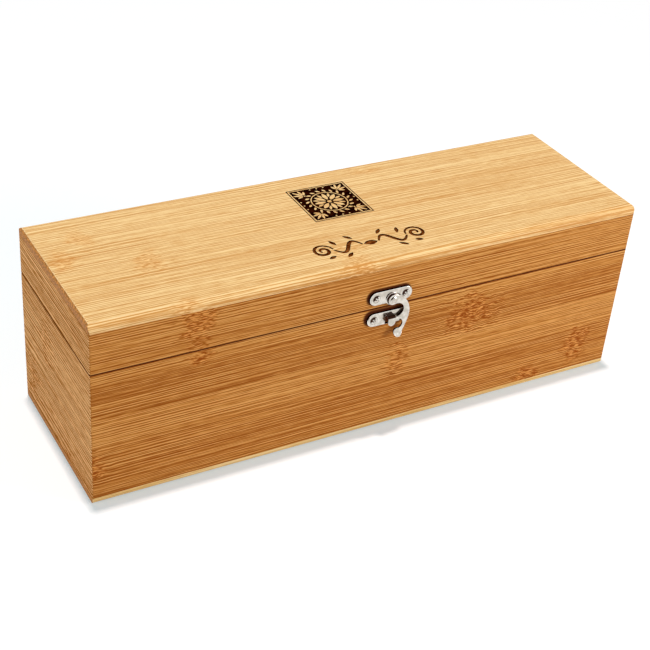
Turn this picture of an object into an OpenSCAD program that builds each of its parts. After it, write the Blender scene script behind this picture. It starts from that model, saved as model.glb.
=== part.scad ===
// Wine box of strip bamboo with a hinged lid, a swing-hook latch and rests for one bottle.
// Millimetres. X runs along the box, Y from its front to its back, Z up.
// The origin is the middle of the underside.

/* [Box] */
// Length of the box
box_l = 360; // [330:1:400]
// Depth of the box, front to back
box_d = 113; // [105:1:130]
// Height of the closed box
box_h = 120; // [114:1:140]
// Height of the lid, from the middle of the seam to the top
lid_h = 31; // [26:0.5:36]
// Thickness of the boards of both frames
wall_t = 8; // [7.5:0.5:10]
// Thickness of the top board
top_t = 5.5; // [5:0.5:8]
// Thickness of the bottom board
bottom_t = 4.5; // [3.5:0.5:7]
// Gap between the two rims when the lid is down
seam_gap = 0.5; // [0.3:0.1:0.6]

/* [Edges] */
// Radius along the two long edges of the top board
top_round = 5; // [2:0.5:5]
// Radius along the two long edges of the bottom board
bottom_round = 3.2; // [1:0.2:3.4]
// Radius along the two end edges of the top board
end_round = 2; // [0.5:0.5:4]
// Radius on the four upright corners
corner_round = 1; // [0.4:0.1:2]

/* [Bottle rests] */
// Radius of the bottle's body, with a little room
body_r = 38.5; // [36:0.5:41]
// Radius of the bottle's neck, with a little room
neck_r = 15.5; // [14:0.5:18]
// Height of the bottle's axis above the underside
bottle_z = 50; // [46:0.5:54]
// Thickness of both rests
rest_t = 9; // [6:0.5:14]
// Top of the body rest above the underside
body_rest_top = 38; // [30:1:44]
// Place of the body rest, from the middle
body_rest_x = 80; // [50:1:110]
// Place of the neck rest, from the middle
neck_rest_x = -110; // [-125:1:-90]
// Radius on the two upper corners of a rest
rest_corner = 4; // [1:0.5:8]
// Room between a rest and the frame boards, on each side
rest_room = 0.1; // [0.05:0.05:0.3]

/* [Hinges] */
// Length of a hinge
hinge_l = 24; // [20:1:30]
// Distance from an end of the box to the middle of the nearer hinge
hinge_from_end = 65; // [50:1:80]
// Width of a leaf, from the pin's axis
leaf_w = 6.4; // [5.8:0.1:6.4]
// Thickness of a leaf
leaf_t = 0.8; // [0.6:0.1:1]
// Gap between the closed leaves
leaf_gap = 0.3; // [0.2:0.1:0.4]
// Outer radius of the knuckles
knuckle_r = 1.6; // [1.4:0.1:1.9]
// Radius of the hinge pin
hinge_pin_r = 0.7; // [0.5:0.05:0.8]
// Inset of the pin's axis from the back of the box
axis_inset = 1; // [0.8:0.1:1.2]
// Opening of the lid that the bevelled rims stop
lid_stop_deg = 100; // [96:1:110]
// Gap between neighbouring knuckles
knuckle_gap = 0.2; // [0.1:0.05:0.3]
// Length of a hinge screw
hinge_screw_l = 7; // [5:0.5:9]

/* [Latch] */
// Place of the latch along the front, from the middle
latch_x = 3.3; // [-40:0.1:40]
// Distance between the two screws of a plate
screw_pitch = 19.6; // [18.4:0.2:22]
// Radius of a plate's round ends
plate_end_r = 4.4; // [4:0.1:4.6]
// Thickness of the plates
plate_t = 1.5; // [1.2:0.1:1.8]
// Height of the upper plate's screws above the seam
latch_up = 7.2; // [6.6:0.1:8]
// Drop of the lower plate's screws below the seam
catch_down = 7.4; // [7.2:0.1:8]
// Shift of the lower plate against the upper one
catch_shift = -0.4; // [-1:0.1:0]
// Radius of the rivet's shank
rivet_r = 1.1; // [0.9:0.05:1.3]
// Height of the rivet above the seam
rivet_up = 5.4; // [5.2:0.1:5.8]
// Height of the raised boss under the hook
boss_h = 0.6; // [0.5:0.1:1]
// Thickness of the hook
hook_t = 1.1; // [0.9:0.05:1.3]
// Outer radius of the hook's eye
eye_r = 3.4; // [3.2:0.1:3.7]
// Outer radius of the hook's arm
arm_r = 14.2; // [13.6:0.1:15]
// Radius of the opening inside the arm
window_r = 4.7; // [4.4:0.05:4.9]
// Thickness of the finger that goes under the tongue
finger_t = 1.7; // [1.4:0.1:2]
// Radius of the thumb foot
foot_r = 2.7; // [2.3:0.1:3]
// Angle by which the thumb foot turns outwards
foot_turn_deg = 30; // [15:1:45]
// Width of the tongue
tongue_w = 4.9; // [4.5:0.1:5.4]
// Room beside the finger, when the hook is just off the tongue
finger_room = 0.3; // [0.2:0.05:0.5]
// Length of a latch screw
latch_screw_l = 6; // [4.5:0.5:6.5]

/* [Hidden] */
$fn = 48;

// Finishes
pale_bamboo = [0.86, 0.69, 0.44];
amber_bamboo = [0.72, 0.48, 0.24];
nickel = [0.80, 0.80, 0.78];

// Clearances and small lengths that more than one piece shares
run_fit = 0.05;
cut_room = 0.1;
air = 0.3;
past = 1;
straight_left = 0.3;
tip_r = 0.1;

// Levels
seam_z = box_h - lid_h;
base_rim_z = seam_z - seam_gap / 2;
lid_rim_z = seam_z + seam_gap / 2;
lid_boards_top = box_h - top_t;

// Hinges, with knuckles counted along the axis
hinge_x = box_l / 2 - hinge_from_end;
axis_y = box_d / 2 - axis_inset;
knuckles = 5;
knuckle_l = hinge_l / knuckles;
leaf_root = knuckle_r + air;
hinge_screw_r = 0.8;
hinge_screw_tip = 1;
hinge_head_r = 1.6;
hinge_screw_in = (leaf_root + leaf_w) / 2;
hinge_screw_x = hinge_l / 2 - knuckle_l;

// Latch screws
screw_r = 1;
head_r = 2.2;
head_dome = 0.4;
head_sink = 0.6;
screw_tip = 1.4;

// Height of each layer of the latch above the front of the box
boss_top = plate_t + boss_h;
hook_back = boss_top + cut_room;
hook_face = hook_back + hook_t;
rivet_head_r = 2.2;
rivet_dome = 0.8;
rivet_tail_r = 1.8;
rivet_tail_t = 0.5;
boss_r = eye_r - 0.2;
boss_slope = 0.6;
boss_skirt = 1.2;
edge_cut = 0.25;

// Place of the rivet from the middle of the latch
rivet_dx = 0.8;

// Arcs of the hook's outline, from the middle of the rivet
arm_dir = 77.5;
arm_c = -(arm_r - eye_r) * [cos(arm_dir), sin(arm_dir)];
window_dir = -68.6;
window_end_dir = -98;
eye_web = 0.15;
window_c = (eye_r + window_r + eye_web) * [cos(window_dir), sin(window_dir)];
finger_top = window_c[1] - window_r;
finger_low = finger_top - finger_t;
finger_r = finger_t / 2;
finger_tip_x = 2.2;
throat_r = 3.5;
throat_dx = 1.4;
throat_c = [window_c[0] + throat_dx, finger_low - throat_r];
foot_shift = 0.5;
foot_c = [throat_c[0] + foot_shift, throat_c[1] - throat_r - foot_r + foot_shift];
foot_out_dir = -30;
tail_dir = -12.6;
tail_top = arm_c + arm_r * [cos(tail_dir), sin(tail_dir)];
tail_end = foot_c + foot_r * [cos(foot_out_dir), sin(foot_out_dir)];
tail_run = tail_end - tail_top;
tail_lean = tail_run * [cos(tail_dir), sin(tail_dir)];
tail_r = -(tail_run * tail_run) / (2 * tail_lean);
tail_c = tail_top - tail_r * [cos(tail_dir), sin(tail_dir)];
tail_end_dir = atan2(tail_end[1] - tail_c[1], tail_end[0] - tail_c[0]);

// Bend of the thumb foot, seen from the side
bend_r = 2.5;
bend_above = 1.2;
bend_w = foot_c[1] + bend_above;

// Tongue that stands out of the lower plate and turns down over the finger
tongue_t = 0.8;
tongue_right = finger_tip_x - finger_room;
tongue_over = 0.9;
tongue_under = rivet_up + finger_top + tongue_over;
tongue_bend_r = 1.5;
tongue_out = 1.5;
tongue_face = hook_face + tongue_out;
tongue_drop = 6.4;
catch_slot_low = tongue_under + tongue_t - tongue_drop + air;
catch_slot_side = 0.4;

// Points along an arc about c, from angle a0 to a1
function arc(c, r, a0, a1, steps) =
    [for (i = [0 : steps]) c + r * [cos(a0 + (a1 - a0) * i / steps), sin(a0 + (a1 - a0) * i / steps)]];

// Profile drawn as Y, Z and run along X
module along_x(l) {
    rotate([90, 0, 90])
        translate([0, 0, -l / 2])
            linear_extrude(l)
                children();
}

// Profile drawn as X, Z and run along Y
module along_y(l) {
    rotate([90, 0, 0])
        translate([0, 0, -l / 2])
            linear_extrude(l)
                children();
}

// Local X, Y and Z become X, Z and outwards from the front of the box, from the seam
module on_front() {
    translate([0, -box_d / 2, seam_z])
        rotate([90, 0, 0])
            children();
}

// Plan of the box with its eased corners
module outer_plan() {
    cx = box_l / 2 - corner_round;
    cy = box_d / 2 - corner_round;
    square([box_l, 2 * cy], center = true);
    square([2 * cx, box_d], center = true);
    for (sx = [-1, 1], sy = [-1, 1])
        translate([sx * cx, sy * cy])
            circle(r = corner_round);
}

// Plan of a frame
module frame_plan() {
    difference() {
        outer_plan();
        square([box_l - 2 * wall_t, box_d - 2 * wall_t], center = true);
    }
}

// The part of the plan that the front board takes, between its two mitres
module front_share() {
    out = past;
    inn = wall_t + past;
    polygon([
        [-box_l / 2 - out, -box_d / 2 - out],
        [box_l / 2 + out, -box_d / 2 - out],
        [box_l / 2 - inn, -box_d / 2 + inn],
        [-box_l / 2 + inn, -box_d / 2 + inn]
    ]);
}

// The part of the plan that the right end takes, between its two mitres
module right_share() {
    out = past;
    inn = wall_t + past;
    polygon([
        [box_l / 2 + out, -box_d / 2 - out],
        [box_l / 2 + out, box_d / 2 + out],
        [box_l / 2 - inn, box_d / 2 - inn],
        [box_l / 2 - inn, -box_d / 2 + inn]
    ]);
}

// One mitred board of a frame, between two heights; flip turns front to back or right to left
module frame_board(low, high, end, flip) {
    translate([0, 0, low])
        linear_extrude(high - low)
            intersection() {
                frame_plan();
                if (end)
                    mirror([flip ? 1 : 0, 0])
                        right_share();
                else
                    mirror([0, flip ? 1 : 0])
                        front_share();
            }
}

// Wedge that bevels the back of a rim from the hinge axis outwards; drawn for the base
module rim_bevel() {
    run = axis_inset + past;
    fall = run * tan(lid_stop_deg / 2);
    along_x(box_l + 2 * past)
        polygon([
            [axis_y, base_rim_z],
            [axis_y + run, base_rim_z - fall],
            [axis_y + run, base_rim_z + past],
            [axis_y, base_rim_z + past]
        ]);
}

// Pockets for both hinges, with room round leaf and knuckles; drawn for the base
module hinge_pockets() {
    pocket_l = hinge_l + 2 * cut_room;
    pocket_y = axis_y - leaf_w - cut_room;
    pocket_z = seam_z - leaf_gap / 2 - leaf_t - cut_room / 2;
    for (side = [-1, 1])
        translate([side * hinge_x, 0, 0]) {
            translate([-pocket_l / 2, pocket_y, pocket_z])
                cube([pocket_l, leaf_w + cut_room + axis_inset + past, base_rim_z + past - pocket_z]);
            translate([-pocket_l / 2, axis_y, seam_z])
                rotate([0, 90, 0])
                    cylinder(r = leaf_root, h = pocket_l);
            for (sx = [-1, 1])
                translate([sx * hinge_screw_x, axis_y - hinge_screw_in, pocket_z - hinge_screw_l])
                    cylinder(r = hinge_screw_r + cut_room, h = hinge_screw_l + past);
        }
}

// Anything drawn for the base, turned over about the seam for the lid
module for_lid() {
    translate([0, 0, seam_z])
        mirror([0, 0, 1])
            translate([0, 0, -seam_z])
                children();
}

module lid_board(end, flip) {
    color(amber_bamboo)
        difference() {
            frame_board(lid_rim_z, lid_boards_top, end, flip);
            for_lid()
                rim_bevel();
            if (!end && flip)
                for_lid()
                    hinge_pockets();
            if (!end && !flip)
                latch_holes();
        }
}

module base_board(end, flip) {
    color(amber_bamboo)
        difference() {
            frame_board(bottom_t, base_rim_z, end, flip);
            rim_bevel();
            if (!end && flip)
                hinge_pockets();
            if (!end && !flip)
                catch_holes();
        }
}

module lid_front_board() {
    lid_board(false, false);
}

module lid_back_board() {
    lid_board(false, true);
}

module lid_left_end() {
    lid_board(true, true);
}

module lid_right_end() {
    lid_board(true, false);
}

module base_front_board() {
    base_board(false, false);
}

module base_back_board() {
    base_board(false, true);
}

module base_left_end() {
    base_board(true, true);
}

module base_right_end() {
    base_board(true, false);
}

// Profile of a slab w wide and t thick, with its two upper edges rounded
module rounded_slab(w, t, round_r) {
    r = min(round_r, t - straight_left);
    translate([-w / 2, 0])
        square([w, t - r]);
    translate([r - w / 2, 0])
        square([w - 2 * r, t]);
    intersection() {
        for (side = [-1, 1])
            translate([side * (w / 2 - r), t - r])
                circle(r = r);
        translate([-w / 2, 0])
            square([w, t]);
    }
}

// Slab over the plan of the box, its upper edges rounded along its length and its ends
module board_slab(t, long_r, end_r) {
    intersection() {
        along_x(box_l + 2 * past)
            rounded_slab(box_d, t, long_r);
        along_y(box_d + 2 * past)
            rounded_slab(box_l, t, end_r);
        linear_extrude(t)
            outer_plan();
    }
}

// Top board: laid over the frame and flush with it
module lid_top_board() {
    color(pale_bamboo)
        translate([0, 0, lid_boards_top])
            board_slab(top_t, top_round, end_round);
}

// Bottom board: laid under the frame and flush with it
module base_bottom_board() {
    color(pale_bamboo)
        translate([0, 0, bottom_t])
            mirror([0, 0, 1])
                board_slab(bottom_t, bottom_round, corner_round);
}

// A board across the base with a round seat for the bottle
module bottle_rest(x, top, seat_r) {
    room_d = box_d - 2 * wall_t - 2 * rest_room;
    shoulder = top - rest_corner;
    color(pale_bamboo)
        translate([x, 0, 0])
            along_x(rest_t)
                difference() {
                    union() {
                        translate([-room_d / 2, bottom_t])
                            square([room_d, shoulder - bottom_t]);
                        translate([rest_corner - room_d / 2, bottom_t])
                            square([room_d - 2 * rest_corner, top - bottom_t]);
                        for (side = [-1, 1])
                            translate([side * (room_d / 2 - rest_corner), shoulder])
                                circle(r = rest_corner);
                    }
                    translate([0, bottle_z])
                        circle(r = seat_r, $fn = 96);
                }
}

module neck_rest() {
    bottle_rest(neck_rest_x, bottle_z, neck_r);
}

module body_rest() {
    bottle_rest(body_rest_x, body_rest_top, body_r);
}

// One hinge leaf with its own knuckles, drawn for the base; first is 0 for the outer knuckles
module hinge_leaf(side, first) {
    leaf_top = seam_z - leaf_gap / 2;
    color(nickel)
        translate([side * hinge_x, axis_y, 0])
            difference() {
                union() {
                    translate([-hinge_l / 2, -leaf_w, leaf_top - leaf_t])
                        cube([hinge_l, leaf_w - leaf_root, leaf_t]);
                    for (i = [first : 2 : knuckles - 1])
                        translate([-hinge_l / 2 + i * knuckle_l + knuckle_gap / 2, 0, 0]) {
                            translate([0, -leaf_root - run_fit, leaf_top - leaf_t])
                                cube([knuckle_l - knuckle_gap, leaf_root + run_fit, leaf_t]);
                            translate([0, 0, seam_z])
                                rotate([0, 90, 0])
                                    cylinder(r = knuckle_r, h = knuckle_l - knuckle_gap);
                        }
                }
                translate([-hinge_l / 2 - past, 0, seam_z])
                    rotate([0, 90, 0])
                        cylinder(r = hinge_pin_r + run_fit, h = hinge_l + 2 * past);
                for (sx = [-1, 1])
                    translate([sx * hinge_screw_x, -hinge_screw_in, leaf_top - leaf_t])
                        cylinder(r1 = hinge_screw_r + run_fit, r2 = hinge_head_r + run_fit, h = leaf_t);
            }
}

module left_hinge_base_leaf() {
    hinge_leaf(-1, 0);
}

module right_hinge_base_leaf() {
    hinge_leaf(1, 0);
}

module left_hinge_lid_leaf() {
    for_lid()
        hinge_leaf(-1, 1);
}

module right_hinge_lid_leaf() {
    for_lid()
        hinge_leaf(1, 1);
}

// Pin through all knuckles of one hinge, with eased ends
module hinge_pin(side) {
    ease = 0.2;
    color(nickel)
        translate([side * hinge_x - hinge_l / 2, axis_y, seam_z])
            rotate([0, 90, 0]) {
                cylinder(r1 = hinge_pin_r - ease, r2 = hinge_pin_r, h = ease);
                translate([0, 0, ease])
                    cylinder(r = hinge_pin_r, h = hinge_l - 2 * ease);
                translate([0, 0, hinge_l - ease])
                    cylinder(r1 = hinge_pin_r, r2 = hinge_pin_r - ease, h = ease);
            }
}

module left_hinge_pin() {
    hinge_pin(-1);
}

module right_hinge_pin() {
    hinge_pin(1);
}

// Screws of both base leaves, flush with them
module hinge_base_screws() {
    leaf_top = seam_z - leaf_gap / 2;
    slot_w = 0.4;
    slot_h = 0.3;
    color(nickel)
        for (side = [-1, 1], sx = [-1, 1])
            translate([side * hinge_x + sx * hinge_screw_x, axis_y - hinge_screw_in, leaf_top])
                difference() {
                    union() {
                        translate([0, 0, -leaf_t])
                            cylinder(r1 = hinge_screw_r, r2 = hinge_head_r, h = leaf_t);
                        translate([0, 0, hinge_screw_tip - hinge_screw_l])
                            cylinder(r = hinge_screw_r, h = hinge_screw_l - hinge_screw_tip - leaf_t / 2);
                        translate([0, 0, -hinge_screw_l])
                            cylinder(r1 = tip_r, r2 = hinge_screw_r, h = hinge_screw_tip);
                    }
                    translate([-hinge_head_r, -slot_w / 2, -slot_h])
                        cube([2 * hinge_head_r, slot_w, slot_h + past]);
                }
}

module hinge_lid_screws() {
    for_lid()
        hinge_base_screws();
}

// Pilot holes for two latch screws about a middle point
module screw_holes(mid) {
    for (sx = [-1, 1])
        translate([mid[0] + sx * screw_pitch / 2, mid[1], -latch_screw_l - cut_room])
            cylinder(r = screw_r + cut_room, h = latch_screw_l + cut_room + past);
}

latch_mid = [latch_x, latch_up];
catch_mid = [latch_x + catch_shift, -catch_down];
rivet_at = [latch_x + rivet_dx, rivet_up];

module latch_holes() {
    on_front()
        screw_holes(latch_mid);
}

module catch_holes() {
    on_front()
        screw_holes(catch_mid);
}

// Round disc of a plate with a cut edge
module plate_disc(r) {
    cylinder(r = r, h = plate_t - edge_cut);
    translate([0, 0, plate_t - edge_cut])
        cylinder(r1 = r, r2 = r - edge_cut, h = edge_cut);
}

// Long plate with round ends, cut edges and countersunk holes
module plate_blank(mid) {
    translate([mid[0], mid[1], 0])
        difference() {
            union() {
                for (sx = [-1, 1])
                    translate([sx * screw_pitch / 2, 0, 0])
                        plate_disc(plate_end_r);
                rotate([90, 0, 90])
                    translate([0, 0, -screw_pitch / 2])
                        linear_extrude(screw_pitch)
                            polygon([
                                [-plate_end_r, 0],
                                [plate_end_r, 0],
                                [plate_end_r, plate_t - edge_cut],
                                [plate_end_r - edge_cut, plate_t],
                                [edge_cut - plate_end_r, plate_t],
                                [-plate_end_r, plate_t - edge_cut]
                            ]);
            }
            for (sx = [-1, 1])
                translate([sx * screw_pitch / 2, 0, 0]) {
                    translate([0, 0, -past])
                        cylinder(r = screw_r + cut_room, h = plate_t + 2 * past);
                    translate([0, 0, plate_t - head_sink])
                        cylinder(r1 = screw_r + cut_room, r2 = head_r + cut_room, h = head_sink);
                }
        }
}

// Upper plate with the raised boss that carries the hook, hollow behind
module latch_plate() {
    color(nickel)
        on_front()
            difference() {
                union() {
                    plate_blank(latch_mid);
                    translate(concat(rivet_at, 0))
                        plate_disc(boss_r + boss_skirt);
                    translate(concat(rivet_at, plate_t))
                        cylinder(r1 = boss_r + boss_slope, r2 = boss_r, h = boss_h);
                }
                translate(concat(rivet_at, -past))
                    cylinder(r = rivet_r + run_fit, h = boss_top + 2 * past);
                translate(concat(rivet_at, -past))
                    cylinder(r = rivet_tail_r + cut_room, h = past + boss_h);
            }
}

// Lower plate with the tongue pressed out of it
module catch_plate() {
    right = rivet_at[0] + tongue_right;
    top = tongue_under + tongue_t;
    low = top - tongue_drop;
    color(nickel)
        on_front() {
            difference() {
                plate_blank(catch_mid);
                translate([right - tongue_w - catch_slot_side, catch_slot_low, -past])
                    cube([tongue_w + 2 * catch_slot_side, tongue_under - catch_slot_low, plate_t + 2 * past]);
            }
            intersection() {
                translate([right - tongue_w, 0, 0])
                    rotate([90, 0, 90])
                        linear_extrude(tongue_w)
                            tongue_side(top, low);
                tongue_front(right - tongue_w / 2, top, low);
            }
        }
}

// Tongue from the side, as height and distance from the front of the box
module tongue_side(top, low) {
    r_in = tongue_bend_r - tongue_t;
    bend_c = [top - tongue_bend_r, tongue_face - tongue_bend_r];
    polygon(concat(
        [[top, plate_t / 2]],
        arc(bend_c, tongue_bend_r, 0, 90, 8),
        [[low, tongue_face], [low, tongue_face - tongue_t]],
        arc(bend_c, r_in, 90, 0, 8),
        [[top - tongue_t, plate_t / 2]]
    ));
}

// Tongue from the front: straight sides and a round lower end
module tongue_front(x, top, low) {
    linear_extrude(tongue_face + past) {
        translate([x, low + tongue_w / 2])
            circle(r = tongue_w / 2);
        translate([x - tongue_w / 2, low + tongue_w / 2])
            square([tongue_w, top - low]);
    }
}

// Two latch screws with oval heads and cross recesses
module latch_screws(mid) {
    cap_r = (head_r * head_r + head_dome * head_dome) / (2 * head_dome);
    cross_w = 0.6;
    cross_l = 2.4;
    color(nickel)
        on_front()
            for (sx = [-1, 1])
                translate([mid[0] + sx * screw_pitch / 2, mid[1], 0])
                    difference() {
                        union() {
                            translate([0, 0, plate_t - head_sink])
                                cylinder(r1 = screw_r, r2 = head_r, h = head_sink);
                            intersection() {
                                translate([0, 0, plate_t + head_dome - cap_r])
                                    sphere(r = cap_r);
                                translate([0, 0, plate_t])
                                    cylinder(r = head_r, h = head_dome + past);
                            }
                            translate([0, 0, screw_tip - latch_screw_l])
                                cylinder(r = screw_r, h = latch_screw_l - screw_tip + plate_t - head_sink / 2);
                            translate([0, 0, -latch_screw_l])
                                cylinder(r1 = tip_r, r2 = screw_r, h = screw_tip);
                        }
                        for (turn = [45, 135])
                            translate([0, 0, plate_t + head_dome])
                                rotate([0, 0, turn])
                                    cube([cross_l, cross_w, 2 * head_dome], center = true);
                    }
}

module latch_plate_screws() {
    latch_screws(latch_mid);
}

module catch_plate_screws() {
    latch_screws(catch_mid);
}

// Rivet: shank through boss and hook, domed head in front, tail inside the boss
module latch_rivet() {
    head_low = hook_face + cut_room;
    tail_low = boss_h - rivet_tail_t;
    cap_r = (rivet_head_r * rivet_head_r + rivet_dome * rivet_dome) / (2 * rivet_dome);
    color(nickel)
        on_front()
            translate(concat(rivet_at, 0)) {
                translate([0, 0, tail_low])
                    cylinder(r = rivet_tail_r, h = rivet_tail_t);
                translate([0, 0, tail_low])
                    cylinder(r = rivet_r, h = head_low + rivet_dome / 2 - tail_low);
                intersection() {
                    translate([0, 0, head_low + rivet_dome - cap_r])
                        sphere(r = cap_r);
                    translate([0, 0, head_low])
                        cylinder(r = rivet_head_r, h = rivet_dome + past);
                }
            }
}

// Outline of the hook: eye, opening, finger, throat, foot, tail and arm, all arcs
module hook_outline() {
    polygon(concat(
        arc([0, 0], eye_r, arm_dir, window_dir + 360, 24),
        arc(window_c, window_r, window_dir + 180, window_end_dir, 20),
        arc([finger_tip_x + finger_r, finger_top - finger_r], finger_r, 100, 260, 8),
        arc(throat_c, throat_r, 90, -62, 14),
        arc(foot_c, foot_r, 72, 360 + foot_out_dir, 18),
        arc(tail_c, tail_r, tail_end_dir, tail_dir, 6),
        arc(arm_c, arm_r, tail_dir, arm_dir, 20)
    ));
}

// Hook from the side: flat, then turned outwards below the bend
module hook_side() {
    bend_c = [bend_w, hook_back + bend_r + hook_t];
    reach = 2 * foot_r;
    run = reach * [-cos(foot_turn_deg), sin(foot_turn_deg)];
    back = arc(bend_c, bend_r + hook_t, 270, 270 - foot_turn_deg, 8);
    face = arc(bend_c, bend_r, 270 - foot_turn_deg, 270, 8);
    polygon(concat(
        [[eye_r + past, hook_back]],
        back,
        [back[8] + run, face[0] + run],
        face,
        [[eye_r + past, hook_face]]
    ));
}

// Swing hook: sheet in the shape of its outline, with the thumb foot turned out
module latch_hook() {
    color(nickel)
        on_front()
            translate(concat(rivet_at, 0))
                difference() {
                    intersection() {
                        linear_extrude(hook_face + 3 * foot_r)
                            hook_outline();
                        rotate([90, 0, 90])
                            translate([0, 0, -2 * arm_r])
                                linear_extrude(4 * arm_r)
                                    hook_side();
                    }
                    cylinder(r = rivet_r + run_fit, h = hook_face + past);
                }
}

lid_top_board();
lid_front_board();
lid_back_board();
lid_left_end();
lid_right_end();
base_front_board();
base_back_board();
base_left_end();
base_right_end();
base_bottom_board();
neck_rest();
body_rest();
left_hinge_lid_leaf();
left_hinge_base_leaf();
left_hinge_pin();
right_hinge_lid_leaf();
right_hinge_base_leaf();
right_hinge_pin();
hinge_lid_screws();
hinge_base_screws();
latch_plate();
latch_plate_screws();
latch_rivet();
latch_hook();
catch_plate();
catch_plate_screws();
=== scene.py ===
"""Looks of the strip-bamboo wine box: wood, burnt ornament, nickel latch and hinges, light and camera."""

import math

import bmesh
import bpy
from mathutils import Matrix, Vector


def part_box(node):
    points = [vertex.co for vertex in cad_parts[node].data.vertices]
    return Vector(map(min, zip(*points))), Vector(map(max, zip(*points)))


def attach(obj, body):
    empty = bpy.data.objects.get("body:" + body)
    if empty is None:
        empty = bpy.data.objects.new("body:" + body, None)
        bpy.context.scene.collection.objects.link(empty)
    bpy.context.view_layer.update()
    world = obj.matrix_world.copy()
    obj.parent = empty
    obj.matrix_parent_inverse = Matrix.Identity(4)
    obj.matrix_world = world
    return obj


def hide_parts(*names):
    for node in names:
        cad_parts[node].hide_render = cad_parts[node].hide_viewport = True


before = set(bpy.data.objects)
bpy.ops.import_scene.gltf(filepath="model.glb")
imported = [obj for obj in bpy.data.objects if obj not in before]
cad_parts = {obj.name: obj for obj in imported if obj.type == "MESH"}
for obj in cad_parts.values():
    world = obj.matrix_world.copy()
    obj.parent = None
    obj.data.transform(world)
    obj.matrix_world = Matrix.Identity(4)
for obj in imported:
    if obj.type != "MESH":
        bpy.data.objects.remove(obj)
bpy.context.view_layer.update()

MM = 0.001
TO_MM = 1 / MM

# Camera, from the edges of the box in the photograph
CAMERA_AT = (-0.380627, -0.618078, 0.519123)
CAMERA_AZIMUTH = -31.322
CAMERA_ELEVATION = 33.391
CAMERA_ROLL = 5.082
CAMERA_LENS = 76.548
CAMERA_SENSOR = 36
CAMERA_NEAR = 0.01

# Lamps: name, place and aim in metres, side of the square, and power in watts
BOX_MIDDLE = (0, 0, 0.06)
LAMPS = (
    ("overhead_lamp", (0, 0.46, 9.0), (0, 0, 0), 0.4, 540),
    ("right_softbox", (1.273, -1.069, 0.414), BOX_MIDDLE, 0.55, 16.5),
    ("left_softbox", (-2.2, -0.1, 0.6), BOX_MIDDLE, 1.0, 13.2),
)

# Kinds of ray that see the white background, and the world's strength for the others
SEEN_BY = ("Camera", "Glossy", "Transmission")
FILL = 0.2

# Floor: reach and drop in metres, the distances between which it turns white, and its colours
FLOOR_REACH = 6
FLOOR_DROP = 0.0002
WHITE_FROM, WHITE_TO = 0.35, 0.8
FLOOR = (0.79, 0.71, 0.675)
FLOOR_GLOW = (0.22, 0.33, 0.37)

# Corners of the front boards in metres, and places in millimetres, read from the frame
BASE_LOW, BASE_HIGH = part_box("base_front_board")
LID_LOW, LID_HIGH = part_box("lid_front_board")
TOP_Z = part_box("lid_top_board")[1].z * TO_MM
SEAM_Z = (BASE_HIGH.z + LID_LOW.z) / 2 * TO_MM
LID_JOINT_Z = LID_HIGH.z * TO_MM
BASE_JOINT_Z = BASE_LOW.z * TO_MM
FRONT_OUT = -BASE_LOW.y * TO_MM
END_OUT = BASE_HIGH.x * TO_MM

# Middle of the noise that all the patterns are drawn with
NOISE_MIDDLE = 0.5

# Wood, as linear colours: dark, middle and light of each face, and the light tone of each end grain
PALE = ((0.64, 0.305, 0.082), (0.82, 0.508, 0.203), (0.95, 0.685, 0.335))
EDGE_PALE = ((0.67, 0.40, 0.12), (0.89, 0.61, 0.235), (0.98, 0.75, 0.37))
AMBER = ((0.32, 0.085, 0.006), (0.58, 0.242, 0.048), (0.76, 0.395, 0.115))
AMBER_SIDE = ((0.33, 0.115, 0.016), (0.655, 0.332, 0.116), (0.88, 0.565, 0.265))
WOOD_SHADES = (0.1, 0.5, 0.9)
PALE_END, AMBER_END = (0.62, 0.27, 0.068), (0.50, 0.19, 0.036)
PORE_DARKNESS = 0.55
# Painted shade, for the wood round the latch's plates and the curves of the top board's rounded ends
PAINTED_SHADE = (0.055, 0.004, 0.0005)
# Painted shade in the gap between lid and base
SEAM_SHADE = (0.10, 0.007, 0.0)
JOINT_TINT = (1.0, 0.87, 0.72)
GLINT = (1.0, 0.80, 0.50)
BURNT_SHADES = (0.42, 0.7)
BURNT = ((0.09, 0.014, 0.001), (0.36, 0.11, 0.02))
CHARRED = ((0.004, 0.0, 0.0), (0.05, 0.008, 0.001))

# End grain: the slope at which it begins, on square edges and on the top board's rounded ones, the
# size of its pores in millimetres along, across and deep, and the noise between pore and wood
END_FROM, ROUND_END_FROM = 0.78, 0.2
END_BLEND = 0.12
PORE_SIZE = (3, 1.6, 0.9)
PORE_TO_WOOD = (0.4, 0.6)

# Rounded edges of the top board: slopes and strength of the lit line, and of the shade on the curve
GLINT_FROM, GLINT_FULL, GLINT_STRENGTH = 0.03, 0.1, 0.25
CURVE_FULL, CURVE_END, CURVE_SHADE = 0.6, 0.98, 0.12

# Painted shade in the gap between lid and base, in millimetres: where it is dark and where it has
# faded, up and down from its middle and in from the face
SEAM_DARK, SEAM_FADED = 0.38, 0.55
SEAM_SHALLOW, SEAM_DEEP = 0.2, 0.8

# Strips of the boards: upper edge in millimetres and tone of each, and the width of the first
FRONT_STRIPS = ((14.1, 0.40), (36, 0.36), (58, 0.58), (80, 0.36), (102, 0.50), (124, 0.50))
END_STRIPS = ((9.9, 0.40), (32.6, 0.48), (54.2, 0.56), (75.8, 0.54), (98, 0.45), (120, 0.45))
BACK_STRIPS = ((17, 0.5), (39, 0.4), (61, 0.55), (83, 0.48), (105, 0.6), (127, 0.42))
TOP_STRIPS = ((-39.4, 0.56), (-19.8, 0.47), (-0.2, 0.53), (19.4, 0.46), (39, 0.55), (58.6, 0.48))
REST_STRIPS = ((22, 0.5), (40, 0.56), (60, 0.45))
FIRST_STRIP = 30

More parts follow.
